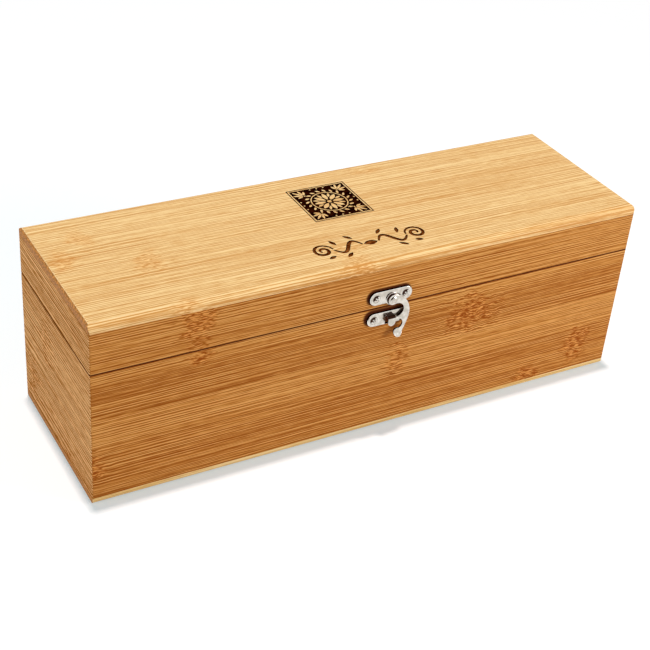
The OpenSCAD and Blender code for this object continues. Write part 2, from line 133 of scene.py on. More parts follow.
# Joints of the culm: place along and across, half length and half width in millimetres, strength, swirl
FRONT_JOINTS = (
    (-118, 106, 8, 8, 1.0, 5),
    (-118, 94, 5, 4.5, 0.5, 4),
    (-117, 83.5, 6, 4.5, 0.9, 4),
    (64, 69.5, 13, 10, 1.0, 10),
    (13.5, 47.5, 7, 10, 0.6, 5),
    (153, 25.5, 7, 10.5, 0.9, 5),
    (116.5, 8, 7, 6, 0.95, 4),
    (-179, 26, 5, 8, 0.9, 5),
)
BACK_JOINTS = ((-60, 70, 8, 9, 0.9, 5), (96, 30, 8, 9, 0.8, 5), (20, 98, 7, 8, 0.7, 5))
LEFT_JOINTS = ((14, 64, 8, 10, 0.4, 5), (-18.5, 6, 6, 5, 0.6, 4), (43, 24, 9, 12, 0.35, 6))
RIGHT_JOINTS = ((-24, 66, 8, 9, 0.6, 5), (31, 28, 8, 10, 0.6, 5))
TOP_JOINTS = (
    (-154, 29, 6, 9, 0.45, 5),
    (-170, 9, 6, 9, 0.65, 5),
    (-125, -8, 8, 9, 0.55, 5),
    (45, 44.5, 8, 4.5, 0.35, 4),
    (-17, -52, 8, 8, 0.5, 5),
    (-124, -55, 6, 4, 0.45, 3),
    (-15, -38, 9, 6, 0.25, 4),
)

# Reach of a joint's mask and swirl, in its half lengths and widths, and the waves of its ragged edge:
# length and width in millimetres, and depth
MASK_END, MASK_FULL = 1.6, 0.5
SWIRL_END, SWIRL_FULL = 3.2, 0.2
RAGGED_LONG, RAGGED_WIDE, RAGGED_DEPTH = 9, 3, 2.5

# Dark flecks in the joints, of which the strongest are cut down
FLECK_STRENGTH, FLECK_MOST, FLECK_MIDDLE = 10, 0.55, 0.1

# Streaks: strength of each kind, the crisp ones' shift as a share of their width, the noise between
# which scratches begin and are full, roughness of the noise, and how far the grain wanders, in millimetres
CRISP, SHORT, MEDIUM, SCRATCH = 2.1, 0.9, 0.4, 0.1
CRISP_SHIFT = 1.1
SCRATCH_FROM, SCRATCH_FULL = -0.1, -0.2
STREAK_ROUGHNESS = 0.55
WANDER, SWIRL_WANDER = 1.5, 0.6

# Glued edges of the strips: where they fade and are full in millimetres, how dark they are, and the
# noise between which the dark stretches begin and are full
GLUED_END, GLUED_FULL = 0.7, 0.1
GLUED_DARKNESS = 0.16
STRETCH_FROM, STRETCH_FULL = -0.05, 0.12

# Single dark streaks in the wood, and lines of painted shade: both ends and place across, half width
# in millimetres, strength
PAST_ENDS = (-400, 400)
GLUE_LINES = ((*PAST_ENDS, LID_JOINT_Z - 0.4, 0.6, 0.3), (*PAST_ENDS, BASE_JOINT_Z + 0.4, 0.6, 0.3))
FRONT_STREAKS = (
    (-158, -68, 58.8, 1.4, 0.30),
    (128, 190, 59.2, 1.3, 0.30),
    (-60, 190, 63.5, 0.7, 0.16),
    (-190, -60, 70.5, 0.9, 0.18),
    (-40, 60, 30, 0.9, 0.16),
    (-100, 100, 36, 0.8, 0.14),
)
# Painted shade along the rounded front edge of the top board
TOP_EDGE_SHADE = ((-60, 250, -55.5, 4, 0.15), (*PAST_ENDS, -54.4, 2.2, 0.22))

# How a single streak fades: over how many millimetres at its ends, and the share of its half width
# that is full
STREAK_FADE = 12
STREAK_CORE = 0.2

# Painted shadow on the wood round the latch's plates: plate, its shift left and up, and the reach, in
# millimetres
SHADED_PLATES = (("latch_plate", 0.9, 0.7, 1.6), ("catch_plate", 1.1, 1.3, 1.9))
PLATE_END_R = 4.4
PLATE_SHADE = 0.95

# Roughness of each finish, and how much its pattern adds
WOOD_ROUGHNESS, GRAIN_ROUGHNESS = 0.5, 0.1
BURNT_ROUGHNESS, CLOUD_ROUGHNESS = 0.85, 0.2
METAL_ROUGHNESS, SMEAR_ROUGHNESS = 0.12, 0.12

# Noise per millimetre of the metal's smears and fine grain, and the noise between dull and bright
SMEAR_SCALE, GRAIN_SCALE = 0.3, 3.0
DULL_TO_BRIGHT = (0.4, 0.6)

# Metal, as linear colours: dull and bright nickel, the painted highlight on its rims, and the dark of
# tarnish and painted shade
NICKEL = ((0.53, 0.49, 0.43), (0.71, 0.67, 0.61))
RIM_HIGHLIGHT = (0.98, 0.95, 0.90)
TARNISH_AND_SHADE = (0.035, 0.013, 0.007)

# Slopes at which the rims of upright pieces have a painted highlight and their cut sides are dark
# with tarnish and painted shade: from and full
RIM_FROM, RIM_FULL = 0.84, 0.78
SIDE_FROM, SIDE_FULL = 0.62, 0.45

# Painted shade in rings round screw heads, in millimetres: shift left and up, and where they end and are
# full
RING_SHIFT = 0.15
RING_END, RING_FULL = 0.5, 0.1
RING_DARKNESS = 0.8

# Dark parts of the latch, in millimetres: how far behind the plate's front the dark ends, and how far
# below the catch's top the painted shade begins on slopes that face up
BOSS_IN = 0.5
SHELF_DOWN = 1.6
SHELF_BLEND = 0.2
SHELF_FROM, SHELF_FULL = 0.1, 0.25

# Slopes to the upper left at which the domes of the screws and of the rivet have a painted shadow
SCREW_CRESCENT, RIVET_CRESCENT = 0.05, 0.6
CRESCENT_BLEND = 0.12

# Burnt ornament in millimetres: depths, and how much its rim and core grow past the drawn outline
BURNT_DEPTH = 0.35
CORE_DEPTH = 0.45
RIM_GROWTH, CORE_GROWTH = 0.2, -0.5

# Square panel: middle and side, width of its border line, and gap from its edge to the field
PANEL_AT = (1.7, 17.8)
PANEL_SIZE = 40
BORDER_LINE = 0.7
FIELD_INSET = 1.5

# Pale forms on the field: rings of leaves, as how many, first angle, distance, lean, length and
# width, how full the leaves are, the bud in the middle, and the circle round the rosette
ROSETTE = ((8, 0.0, 2.3, 0.0, 7.6, 2.9), (8, math.pi / 8, 5.6, 0.0, 4.6, 1.6))
WREATH = (20, 0.0, 12.3, 0.75, 3.4, 1.5)
LEAF_FULLNESS = 0.8
BUD_R = 1.4
RING_RADII = (11.6, 10.9)

# Corner sprays: distance of the root, turn and length of each leaf, width, and gap to the root
SPRAY_AT = 16.2
SPRAY_LEAVES = ((-1.15, 4.4), (-0.55, 6.2), (0, 7.2), (0.55, 6.2), (1.15, 4.4))
SPRAY_WIDTH = 1.5
SPRAY_GAP = 0.8
SPRAY_BUD_AT, SPRAY_BUD_R = -0.4, 0.6

# Dots along the sides of the field: distance, turns and radius
DOTS_AT = 17.1
DOT_TURNS = (-0.26, 0, 0.26)
DOT_R = 0.55

# Flourish below the panel: its middle, lozenge, wave, scroll and pen strokes, and the place, lean and
# length of each leaf
FLOURISH_AT = (0.5, -34.5)
LOZENGE_LENGTH, LOZENGE_WIDTH = 8.8, 4.6
WAVE_FROM, WAVE_LENGTH, WAVE_HEIGHT, WAVE_LOSS = 5.5, 19, 5.5, 0.25
SCROLL_AT, SCROLL_R, SCROLL_EYE_R, SCROLL_TURN = (31, 1), 5.6, 1.0, 3.3
PEN_WIDTH, WAVE_SWELL, SCROLL_SWELL = 0.9, 1.4, 1.1
PEN_STEPS = 28
FLOURISH_LEAVES = ((8.2, 7.6, 0.8, 6), (15.6, -6.2, -0.7, 6), (20.5, 4.4, 1.2, 6), (26.5, -6.4, -0.3, 5))
FLOURISH_LEAF_WIDTH = 2.3

# Meshes: reach within which corners are joined, in metres, angles in radians, and eased edges
WELD, METAL_WELD, CARVED_WELD = 1e-6, 2e-5, 5e-6
SHARP_FROM, EASED_FROM = math.radians(35), math.radians(38)
EASED_BY = 0.12 * MM
EASED_STEPS = 3
LARGE_FACES_LEAD = 100


def both_ways(operation):
    """Operator that adds a Math node, and its reflected form."""
    def plain(value, other):
        return value.paint.calc(operation, value, other)

    def reflected(value, other):
        return value.paint.calc(operation, other, value)

    return plain, reflected


class Value:
    """A socket that takes part in sums: each operator adds a Math node."""

    __add__, __radd__ = both_ways("ADD")
    __sub__, __rsub__ = both_ways("SUBTRACT")
    __mul__, __rmul__ = both_ways("MULTIPLY")
    __truediv__, __rtruediv__ = both_ways("DIVIDE")

    def __init__(self, paint, socket):
        self.paint = paint
        self.socket = socket

    def __abs__(self):
        return self.paint.calc("ABSOLUTE", self)


class Paint:
    """The nodes of a material or of the world."""

    def __init__(self, holder):
        holder.use_nodes = True
        self.holder = holder
        self.tree = holder.node_tree
        self.tree.nodes.clear()

    def node(self, kind, settings=None, inputs=None, output=0):
        """Adds a node: its settings first, then the values or links of its sockets."""
        made = self.tree.nodes.new(kind)
        for name, value in (settings or {}).items():
            if name == "stops":
                self.set_stops(made.color_ramp, value)
            elif name == "steps":
                made.color_ramp.interpolation = "CONSTANT"
                self.set_stops(made.color_ramp, value)
            else:
                setattr(made, name, value)
        for name, value in (inputs or {}).items():
            socket = made.inputs[name]
            if isinstance(value, Value):
                self.tree.links.new(value.socket, socket)
            else:
                socket.default_value = value
        return Value(self, made.outputs[output]) if made.outputs else None

    def set_stops(self, ramp, stops):
        while len(ramp.elements) < len(stops):
            ramp.elements.new(1)
        for element, (place, colour) in zip(ramp.elements, stops):
            element.position = place
            element.color = (*colour, 1)

    def calc(self, operation, *values):
        return self.node("ShaderNodeMath", {"operation": operation}, dict(enumerate(values)))

    def greatest(self, values):
        """The greatest of several values, or nought."""
        most = 0.0
        for value in values:
            most = self.calc("MAXIMUM", most, value)
        return most

    def place(self):
        """Place on the object, in metres."""
        return self.node("ShaderNodeTexCoord", None, None, "Object")

    def place_mm(self):
        """Place on the object, in millimetres."""
        return self.scaled(self.place(), TO_MM)

    def facing(self):
        """Way the surface faces, along the object's axes."""
        return self.separate(self.node("ShaderNodeTexCoord", None, None, "Normal"))

    def scaled(self, vector, scale):
        return self.node("ShaderNodeVectorMath", {"operation": "SCALE"}, {0: vector, "Scale": scale})

    def vector(self, operation, *values, output=0):
        return self.node("ShaderNodeVectorMath", {"operation": operation}, dict(enumerate(values)), output)

    def separate(self, vector):
        first = self.node("ShaderNodeSeparateXYZ", None, {0: vector})
        return [Value(self, socket) for socket in first.socket.node.outputs]

    def combine(self, x, y, z):
        return self.node("ShaderNodeCombineXYZ", None, {0: x, 1: y, 2: z})

    def noise(self, vector, detail=2.0, roughness=0.5):
        settings = {"noise_dimensions": "3D"}
        inputs = {"Vector": vector, "Scale": 1.0, "Detail": detail, "Roughness": roughness}
        return self.node("ShaderNodeTexNoise", settings, inputs)

    def ramp(self, factor, places, colours):
        return self.node("ShaderNodeValToRGB", {"stops": list(zip(places, colours))}, {0: factor})

    def mix(self, factor, first, second, blend="MIX"):
        settings = {"data_type": "RGBA", "blend_type": blend}
        return self.node("ShaderNodeMix", settings, {"Factor": factor, 6: first, 7: second}, 2)

    def toned(self, colour, amount, tone, blend="MIX"):
        """Colour with some of a plain tone over it."""
        return self.mix(amount, colour, (*tone, 1), blend)

    def between(self, value, low, high):
        """Smooth step from nought at low to one at high."""
        inputs = {0: value, 1: low, 2: high}
        return self.node("ShaderNodeMapRange", {"interpolation_type": "SMOOTHSTEP"}, inputs)

    def bump(self, height, strength, distance):
        inputs = {"Strength": strength, "Distance": distance, "Height": height}
        return self.node("ShaderNodeBump", None, inputs)

    def coat(self, inputs):
        """Ends a material with one shader of these values."""
        self.finish(self.node("ShaderNodeBsdfPrincipled", None, inputs))
        return self.holder

    def finish(self, shader):
        self.node("ShaderNodeOutputMaterial", None, {"Surface": shader})


def add_to_scene(thing):
    bpy.context.scene.collection.objects.link(thing)


def place_camera():
    """Puts the camera where the photograph was taken from."""
    azimuth, elevation, roll = map(math.radians, (CAMERA_AZIMUTH, CAMERA_ELEVATION, CAMERA_ROLL))
    back = Vector((
        math.sin(azimuth) * math.cos(elevation),
        -math.cos(azimuth) * math.cos(elevation),
        math.sin(elevation),
    ))
    level = (-back).cross(Vector((0, 0, 1))).normalized()
    above = level.cross(-back)
    right = level * math.cos(roll) + above * math.sin(roll)
    up = above * math.cos(roll) - level * math.sin(roll)
    data = bpy.data.cameras.new("camera")
    data.lens = CAMERA_LENS
    data.sensor_width = CAMERA_SENSOR
    data.clip_start = CAMERA_NEAR
    camera = bpy.data.objects.new("camera", data)
    matrix = camera.matrix_world.to_3x3()
    for column, axis in enumerate((right, up, back)):
        matrix.col[column] = axis
    camera.matrix_world = matrix.to_4x4()
    camera.location = CAMERA_AT
    add_to_scene(camera)
    bpy.context.scene.camera = camera


def softbox(name, at, towards, side, power):
    """A square area lamp that faces a point."""
    data = bpy.data.lights.new(name, "AREA")
    data.shape = "SQUARE"
    data.size = side
    data.energy = power
    lamp = bpy.data.objects.new(name, data)
    lamp.location = at
    lamp.rotation_mode = "QUATERNION"
    lamp.rotation_quaternion = (Vector(towards) - Vector(at)).to_track_quat("-Z", "Y")
    add_to_scene(lamp)


def any_seen(paint):
    """1 for the rays that see the white background."""
    return paint.greatest(paint.node("ShaderNodeLightPath", None, None, f"Is {ray} Ray") for ray in SEEN_BY)


def dress_world():
    """White for the rays that see it, dimmer as a light."""
    world = bpy.data.worlds.new("studio_world")
    bpy.context.scene.world = world
    paint = Paint(world)
    white = paint.node("ShaderNodeBackground", None, {"Color": (1, 1, 1, 1), "Strength": 1.0})
    dim = paint.node("ShaderNodeBackground", None, {"Color": (1, 1, 1, 1), "Strength": FILL})
    both = paint.node("ShaderNodeMixShader", None, {0: any_seen(paint), 1: dim, 2: white})
    paint.node("ShaderNodeOutputWorld", None, {"Surface": both})


def floor_paper():
    """Pale near the box, so that the shadow shows, and plain white further out."""
    paint = Paint(bpy.data.materials.new("floor_paper"))
    seen = any_seen(paint)
    away = paint.vector("LENGTH", paint.place(), output=1)
    matt = paint.node("ShaderNodeBsdfDiffuse", None, {"Color": (*FLOOR, 1)})
    glow = paint.node("ShaderNodeEmission", None, {"Color": (*FLOOR_GLOW, 1), "Strength": 1.0})
    white = paint.node("ShaderNodeEmission", None, {"Color": (1, 1, 1, 1), "Strength": 1.0})
    bright = paint.node("ShaderNodeAddShader", None, {0: matt, 1: glow})
    near = paint.node("ShaderNodeMixShader", None, {0: seen, 1: matt, 2: bright})
    far = seen * paint.between(away, WHITE_FROM, WHITE_TO)
    paint.finish(paint.node("ShaderNodeMixShader", None, {0: far, 1: near, 2: white}))
    return paint.holder


def lay_floor():
    """Flat sheet just under the box."""
    mesh = bpy.data.meshes.new("floor")
    corners = square((0, 0), 2 * FLOOR_REACH)
    mesh.from_pydata([(x, y, -FLOOR_DROP) for x, y in corners], [], [tuple(range(len(corners)))])
    mesh.materials.append(floor_paper())
    floor = bpy.data.objects.new("floor", mesh)
    add_to_scene(floor)


def culm_joints(paint, at, joints):
    """Soft mask of the culm's joints, and how far the grain swirls round them."""
    u, v, _ = at
    flat = paint.combine(u, v, 0.0)
    waves = paint.noise(paint.combine(u / RAGGED_LONG, v / RAGGED_WIDE, 0.5), 1.0) - NOISE_MIDDLE
    ragged = waves * RAGGED_DEPTH
    masks, swirls = [], []
    for at_u, at_v, half_u, half_v, strength, swirl in joints:
        away = paint.vector("SUBTRACT", flat, (at_u, at_v, 0))
        away = paint.vector("DIVIDE", away, (half_u, half_v, 1))
        reach = paint.vector("LENGTH", away, output=1) + ragged
        masks.append(paint.between(reach, MASK_END, MASK_FULL) * strength)
        swirls.append(paint.between(reach, SWIRL_END, SWIRL_FULL) * swirl)
    return paint.greatest(masks), paint.greatest(swirls)


def streaks(paint, at, long, wide, seed, detail=2.0):
    """Noise drawn out along the grain, centred on nought."""
    u, v, w = at
    drawn_out = paint.combine(u / long + seed, v / wide, w / wide)
    return paint.noise(drawn_out, detail, STREAK_ROUGHNESS) - NOISE_MIDDLE


def dark_lines(paint, at, lines):
    """Single dark streaks in the wood, and lines of painted shade, that fade at their ends."""
    u, v, _ = at
    shade = 0.0
    for start, end, level, half, strength in lines:
        core = paint.between(abs(v - level), half, half * STREAK_CORE)
        along = paint.between(u, start, start + STREAK_FADE) * paint.between(u, end, end - STREAK_FADE)
        shade = shade + core * along * strength
    return shade


def veins(paint, at, seed, fine, broad):
    """Streaks of every width along the grain: fine is the least width, broad the strength of the widest."""
    u, v, w = at
    beside = (u, v + fine * CRISP_SHIFT, w)
    crisp, shifted = (streaks(paint, place, 110, fine, seed, 1.0) for place in (at, beside))
    short = streaks(paint, at, long=9, wide=fine, seed=seed + 6, detail=1.0)
    medium = streaks(paint, at, long=200, wide=2.2, seed=seed + 2)
    widest = streaks(paint, at, long=250, wide=7, seed=seed + 1, detail=1.0)
    thin = streaks(paint, at, long=80, wide=0.9, seed=seed + 4, detail=1.0)
    scratches = paint.between(thin, SCRATCH_FROM, SCRATCH_FULL)
    shade = (crisp - shifted) * CRISP + short * SHORT + medium * MEDIUM + widest * broad
    return shade - scratches * SCRATCH


def wandering(paint, at, seed, swirl):
    """Place on a grain that wanders a little everywhere and more round a joint."""
    u, v, w = at
    v = v + streaks(paint, at, long=200, wide=40, seed=seed, detail=0.0) * WANDER
    v = v + streaks(paint, at, long=8, wide=5, seed=seed + 3) * swirl * SWIRL_WANDER
    return u, v, w


def strip_tones(paint, at, strips, seed):
    """Tone of each strip, darker in places along the glued edges."""
    v = at[1]
    edges = [edge for edge, tone in strips]
    starts = [edges[0] - FIRST_STRIP] + edges[:-1]
    span = edges[-1] - starts[0]
    steps = [((start - starts[0]) / span, (tone,) * 3) for start, (edge, tone) in zip(starts, strips)]
    shade = paint.node("ShaderNodeValToRGB", {"steps": steps}, {0: (v - starts[0]) / span})
    patchy = streaks(paint, at, long=40, wide=14, seed=seed + 9, detail=1.0)
    stretches = paint.between(patchy, STRETCH_FROM, STRETCH_FULL)
    for edge in edges[:-1]:
        glued = paint.between(abs(v - edge), GLUED_END, GLUED_FULL)
        shade = shade - glued * stretches * GLUED_DARKNESS
    return shade


def add_end_grain(paint, colour, at, slope, end_colour, rounded):
    """Pores where the board is cut across; a rounded edge has a lit line before them."""
    pores = paint.noise(paint.combine(*(place / size for place, size in zip(at, PORE_SIZE))), 1.0)
    pore_colour = tuple(part * PORE_DARKNESS for part in end_colour)
    cut = paint.ramp(pores, PORE_TO_WOOD, (pore_colour, end_colour))
    begins = END_FROM
    if rounded:
        begins = ROUND_END_FROM
        colour = paint.toned(colour, paint.between(slope, GLINT_FROM, GLINT_FULL) * GLINT_STRENGTH, GLINT)
        # Painted shade on the curve of a rounded end
        cut = paint.toned(cut, paint.between(slope, CURVE_END, CURVE_FULL) * CURVE_SHADE, PAINTED_SHADE)
    return paint.mix(paint.between(slope, begins, begins + END_BLEND), colour, cut)


def add_seam(paint, colour, z, out, face_out):
    """Painted shade in the gap between lid and base, near the outer face only."""
    band = paint.between(abs(z - SEAM_Z), SEAM_FADED, SEAM_DARK)
    outer = paint.between(abs(out), face_out - SEAM_DEEP, face_out - SEAM_SHALLOW)
    return paint.toned(colour, band * outer, SEAM_SHADE)


def add_plate_shade(paint, colour, at, plate):
    """Painted shade on the wood close round a plate with round ends."""
    u, v, _ = at
    (mid_u, mid_v), half, reach = plate
    beyond = paint.calc("MAXIMUM", abs(u - mid_u) - half, 0)
    away = paint.calc("SQRT", beyond * beyond + (v - mid_v) * (v - mid_v))
    return paint.toned(colour, paint.between(away, PLATE_END_R + reach, PLATE_END_R) * PLATE_SHADE, PAINTED_SHADE)


def bamboo(name, along, across, colours, end_colour, strips, seed, joints=(), lines=(), grain=1.0,
           fine=0.55, broad=0.45, gloss=0.06, rounded=False, face_out=None, plates=()):
    """Strip bamboo: strips beside one another, streaks along them, and the joints of the culm.

    along and across are the axes of the grain and of the row of strips. grain and fine are the
    strength and least width of the streaks, broad is the strength of the broadest, and gloss how
    much the face shines. rounded says that the edges are, face_out is how far from the middle the
    face with the seam lies, and plates are the places of plates with painted shade round them.
    """
    paint = Paint(bpy.data.materials.new(name))
    axes = paint.separate(paint.place_mm())
    at = (axes[along], axes[across], axes[3 - along - across])
    mask, swirl = culm_joints(paint, at, joints)
    on_grain = wandering(paint, at, seed, swirl)
    drawn = veins(paint, on_grain, seed, fine, broad) * grain
    flecks = streaks(paint, on_grain, long=4.5, wide=0.6, seed=seed + 5, detail=1.0) * FLECK_STRENGTH
    flecks = paint.calc("MINIMUM", flecks, FLECK_MOST) - FLECK_MIDDLE
    shade = strip_tones(paint, at, strips, seed) + drawn + flecks * mask
    # Dark streaks of the wood, and lines of painted shade
    shade = shade - dark_lines(paint, on_grain, lines)

    colour = paint.ramp(shade, WOOD_SHADES, colours)
    colour = paint.toned(colour, mask, JOINT_TINT, "MULTIPLY")
    colour = add_end_grain(paint, colour, at, abs(paint.facing()[along]), end_colour, rounded)
    # Painted shade in the gap between lid and base
    if face_out is not None:
        colour = add_seam(paint, colour, axes[2], at[2], face_out)
    # Painted shade on the wood round the latch's plates
    for plate in plates:
        colour = add_plate_shade(paint, colour, at, plate)
    return paint.coat({
        "Base Color": colour,
        "Roughness": WOOD_ROUGHNESS + drawn * GRAIN_ROUGHNESS,
        "Specular IOR Level": gloss,
        "Normal": paint.bump(shade, strength=0.3, distance=0.1 * MM),
    })


def front_bamboo():
    return bamboo("front_bamboo", 0, 2, AMBER, AMBER_END, FRONT_STRIPS, 3.1, FRONT_JOINTS,
                  FRONT_STREAKS + GLUE_LINES, face_out=FRONT_OUT, plates=latch_plates())


def back_bamboo():
    return bamboo("back_bamboo", 0, 2, AMBER, AMBER_END, BACK_STRIPS, 17.7, BACK_JOINTS, GLUE_LINES,
                  face_out=FRONT_OUT)


def end_bamboo(name, joints, seed, grain):
    return bamboo(name, 1, 2, AMBER_SIDE, AMBER_END, END_STRIPS, seed, joints, GLUE_LINES, grain,
                  fine=0.75, broad=0.2, gloss=0.0, face_out=END_OUT)


def top_bamboo():
    return bamboo("top_bamboo", 0, 1, PALE, PALE_END, TOP_STRIPS, 5.9, TOP_JOINTS, TOP_EDGE_SHADE,
                  grain=1.45, fine=0.6, broad=0.65, rounded=True)


def bottom_bamboo():
    return bamboo("bottom_bamboo", 0, 1, EDGE_PALE, PALE_END, TOP_STRIPS, 11.3)


def rest_bamboo():
    return bamboo("rest_bamboo", 1, 2, PALE, PALE_END, REST_STRIPS, 23.9)


def latch_plates():
    """Middle, half of the straight part and reach of the painted shade round both latch plates."""
    places = []
    for name, left, up, reach in SHADED_PLATES:
        low, high = (corner * TO_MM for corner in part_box(name))
        middle = ((low.x + high.x) / 2 - left, high.z - PLATE_END_R + up)
        places.append((middle, (high.x - low.x) / 2 - PLATE_END_R, reach))
    return places


def burnt_wood(name, colours):
    """Wood burnt dark, lighter where the fibres show."""
    paint = Paint(bpy.data.materials.new(name))
    x, y, z = paint.separate(paint.place_mm())
    fibre = paint.noise(paint.combine(x / 6, y / 0.6, z), 2.0, 0.6)
    cloud = paint.noise(paint.combine(x / 3.5, y / 3.5, z / 3), 1.0)
    shade = fibre * 0.5 + cloud * 0.5
    return paint.coat({
        "Base Color": paint.ramp(shade, BURNT_SHADES, colours),
        "Roughness": BURNT_ROUGHNESS + (cloud - NOISE_MIDDLE) * CLOUD_ROUGHNESS,
        "Specular IOR Level": 0.0,
        "Normal": paint.bump(shade, strength=0.5, distance=0.2 * MM),
    })


def nickel(name, upright=True, dark_past=None, crescent=None, heads=None, shelf=None):
    """Polished nickel. An upright piece has a painted highlight along its front rims, and its cut sides
    are dark with tarnish and painted shade.

    dark_past is the Y in front of which it is dark too, and crescent the slope to the upper left
    at which a dome has a painted shadow. heads names the screws with a ring of painted shade round
    them, and shelf is the Z below which slopes that face up have painted shade.
    """
    paint = Paint(bpy.data.materials.new(name))
    place = paint.place_mm()
    _, y, z = paint.separate(place)
    facing_x, facing_y, facing_z = paint.facing()
    smear = paint.noise(paint.scaled(place, SMEAR_SCALE))
    grain = paint.noise(paint.scaled(place, GRAIN_SCALE))
    colour = paint.ramp(smear, DULL_TO_BRIGHT, NICKEL)
    darks = []
    if upright:
        # Painted highlight along the rims
        colour = paint.toned(colour, paint.between(abs(facing_y), RIM_FROM, RIM_FULL), RIM_HIGHLIGHT)
        # Cut sides dark with tarnish and painted shade
        darks.append(paint.between(abs(facing_y), SIDE_FROM, SIDE_FULL))
    if dark_past is not None:
        darks.append(paint.calc("LESS_THAN", y, dark_past))
    if crescent is not None:
        # Painted shadow on the upper left of a dome
        darks.append(paint.between(facing_z - facing_x, crescent, crescent + CRESCENT_BLEND))
    if heads is not None:
        # Rings of painted shade round the screw heads
        darks.append(head_rings(paint, place, heads))
    if shelf is not None:
        # Painted shade on slopes that face up under the catch's top
        under = paint.between(z, shelf + SHELF_BLEND, shelf - SHELF_BLEND)
        darks.append(under * paint.between(facing_z, SHELF_FROM, SHELF_FULL))
    return paint.coat({
        "Base Color": paint.toned(colour, paint.greatest(darks), TARNISH_AND_SHADE),
        "Metallic": 1.0,
        "Roughness": METAL_ROUGHNESS + smear * SMEAR_ROUGHNESS,
        "Normal": paint.bump(grain, strength=0.04, distance=0.05 * MM),
    })


def head_rings(paint, place, name):
    """Rings of painted shade round the heads of a pair of screws that lie side by side."""
    low, high = (corner * TO_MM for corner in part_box(name))
    radius = (high.z - low.z) / 2
    level = (low.z + high.z) / 2 + RING_SHIFT
    flat = paint.vector("MULTIPLY", place, (1, 0, 1))
    rings = []
    for x in (low.x + radius, high.x - radius):
        away = paint.vector("DISTANCE", flat, (x - RING_SHIFT, 0, level), output=1)
        rings.append(paint.between(away, radius + RING_END, radius + RING_FULL))
    return paint.greatest(rings) * RING_DARKNESS


def paint_node(name, material):
    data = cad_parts[name].data
    if data.materials:
        data.materials[0] = material
    else:
        data.materials.append(material)


def ring_of(count, first=0.0):
    """Angles of things evenly spaced round a circle."""
    return [first + 2 * math.pi * i / count for i in range(count)]


def polar(centre, radius, angle):
    return (centre[0] + radius * math.cos(angle), centre[1] + radius * math.sin(angle))


def dot(at, radius, steps=12):
    return [polar(at, radius, angle) for angle in ring_of(steps)]


def square(at, size):
    half = size / 2
    return [(at[0] + sx * half, at[1] + sy * half) for sx, sy in ((-1, -1), (1, -1), (1, 1), (-1, 1))]


def leaf(at, direction, length, width, steps=9):
    """Outline of a pointed leaf that starts at a point."""
    ahead = (math.cos(direction), math.sin(direction))
    side = (-ahead[1], ahead[0])
    outline = []
    for sign, order in ((1, range(steps + 1)), (-1, range(steps - 1, 0, -1))):
        for i in order:
            t = i / steps
            half = sign * width / 2 * math.sin(math.pi * t) ** LEAF_FULLNESS if 0 < i < steps else 0
            outline.append((
                at[0] + ahead[0] * length * t + side[0] * half,
                at[1] + ahead[1] * length * t + side[1] * half,
            ))
    return outline


def leaves_round(centre, count, first, away, lean, length, width):
    """Ring of leaves, each rooted away from the centre and leaning off its spoke."""
    spokes = ring_of(count, first)
    return [leaf(polar(centre, away, spoke), spoke + lean, length, width) for spoke in spokes]


def stroke(points, width, swell):
    """Outline of a pen stroke along points, widest half way."""
    left, right = [], []
    last = len(points) - 1
    for i, (x, y) in enumerate(points):
        before, after = points[max(i - 1, 0)], points[min(i + 1, last)]
        run = math.hypot(after[0] - before[0], after[1] - before[1])
        side = (-(after[1] - before[1]) / run, (after[0] - before[0]) / run)
        half = (width + swell * math.sin(math.pi * i / last)) / 2
        left.append((x + side[0] * half, y + side[1] * half))
        right.append((x - side[0] * half, y - side[1] * half))
    return left + right[::-1]


def corner_spray(angle):
    """Bud and leaves that fan out towards a corner of the panel."""
    root = polar(PANEL_AT, SPRAY_AT, angle)
    spray = [dot(polar(root, SPRAY_BUD_AT, angle), SPRAY_BUD_R, steps=8)]
    for turn, length in SPRAY_LEAVES:
        spray.append(leaf(polar(root, SPRAY_GAP, angle + turn), angle + turn, length, SPRAY_WIDTH))
    return spray


def panel_outlines():
    """Square panel: a charred field in a thin border, its rosette, wreath and corner leaves left pale."""
    border = [square(PANEL_AT, PANEL_SIZE), square(PANEL_AT, PANEL_SIZE - 2 * BORDER_LINE)]
    field = [square(PANEL_AT, PANEL_SIZE - 2 * FIELD_INSET), dot(PANEL_AT, BUD_R, steps=16)]
    for petals in ROSETTE:
        field += leaves_round(PANEL_AT, *petals)
    field += [dot(PANEL_AT, radius, steps=48) for radius in RING_RADII]
    field += leaves_round(PANEL_AT, *WREATH)
    for angle in ring_of(4, math.pi / 4):
        field += corner_spray(angle)
    for angle in ring_of(4):
        for turn in DOT_TURNS:
            field.append(dot(polar(PANEL_AT, DOTS_AT / math.cos(turn), angle + turn), DOT_R, steps=8))
    return border, field


def flourish_half(way, growth):
    """Wave, scroll and leaves beside the lozenge, on its right where way is 1 and on its left where -1."""
    def at(x, y):
        return (FLOURISH_AT[0] + way * x, FLOURISH_AT[1] + y)

    wave, scroll = [], []
    for t in (i / PEN_STEPS for i in range(PEN_STEPS + 1)):
        height = WAVE_HEIGHT * math.sin(2 * math.pi * t) * (1 - WAVE_LOSS * t)
        wave.append(at(WAVE_FROM + WAVE_LENGTH * t, height))
        angle = math.pi - SCROLL_TURN * math.pi * t
        scroll.append(at(*polar(SCROLL_AT, SCROLL_R * (1 - t) + SCROLL_EYE_R, angle)))
    pen = PEN_WIDTH + growth
    shapes = [stroke(wave, pen, WAVE_SWELL), stroke(scroll, pen, SCROLL_SWELL)]
    for x, y, lean, length in FLOURISH_LEAVES:
        turn = lean if way == 1 else math.pi - lean
        root = polar(at(x, y), -growth, turn)
        shapes.append(leaf(root, turn, length + 2 * growth, FLOURISH_LEAF_WIDTH + growth))
    return shapes


